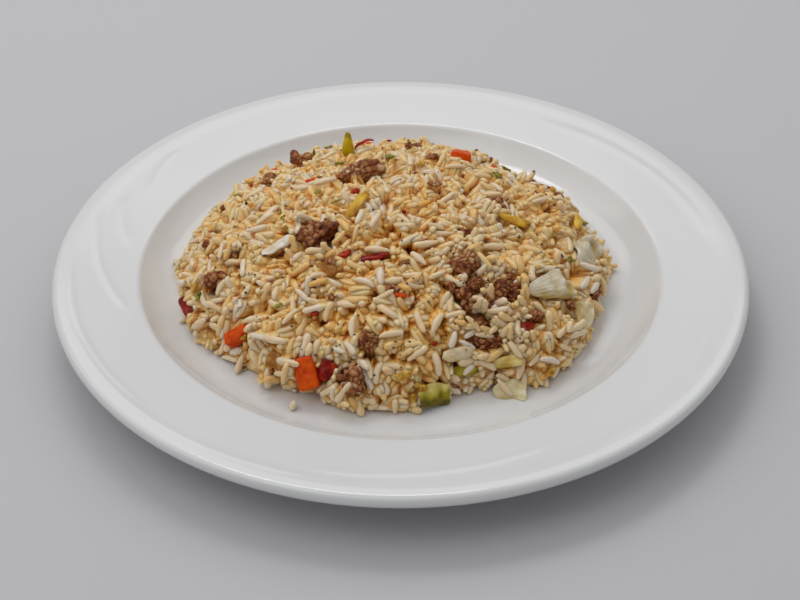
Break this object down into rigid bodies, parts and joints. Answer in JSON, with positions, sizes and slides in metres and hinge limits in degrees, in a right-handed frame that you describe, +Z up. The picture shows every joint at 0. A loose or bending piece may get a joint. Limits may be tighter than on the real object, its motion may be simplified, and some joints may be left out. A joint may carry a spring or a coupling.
{
  "type": "fried rice plate",
  "caption": "Round white rim plate holding a low heap of fried rice with diced carrot, red pepper, cabbage, onion and minced meat.",
  "frame": {"origin": "middle of the plate's foot ring on the table", "axes": "+Z up, -Y the front of the heap, +X its right"},
  "size_m": [0.27, 0.2696, 0.0491],
  "materials": {
    "glaze": "gloss white glaze",
    "rice": "cooked rice with an oily sheen",
    "carrot": "moist cooked carrot",
    "pepper": "moist red pepper skin",
    "cabbage": "moist fried cabbage",
    "onion": "soft clear onion",
    "mince": "browned meat"
  },
  "bodies": {
    "root": {"plate": "glaze", "rice_heap": "rice", "carrot_left": "carrot", "carrot_front": "carrot", "carrot_back": "carrot", "carrot_rear": "carrot", "pepper_front": "pepper", "pepper_left": "pepper", "pepper_middle": "pepper", "pepper_rear": "pepper", "cabbage_white": "cabbage", "cabbage_pale": "cabbage", "cabbage_edge": "cabbage", "cabbage_green": "cabbage", "cabbage_band": "cabbage", "cabbage_strip": "cabbage", "cabbage_stalk": "cabbage", "cabbage_yellow": "cabbage", "cabbage_tip": "cabbage", "cabbage_curl": "cabbage", "cabbage_side": "cabbage", "cabbage_rear": "cabbage", "cabbage_far": "cabbage", "onion_left": "onion", "onion_gold": "onion", "onion_brown": "onion", "onion_front": "onion", "onion_rear": "onion", "mince_left": "mince", "mince_top": "mince", "mince_peak": "mince", "mince_side": "mince", "mince_foot": "mince", "mince_front": "mince", "mince_middle": "mince", "mince_hollow": "mince", "mince_right": "mince", "mince_low": "mince", "mince_edge": "mince", "mince_far": "mince", "mince_rear": "mince", "mince_behind": "mince"}
  },
  "joints": []
}
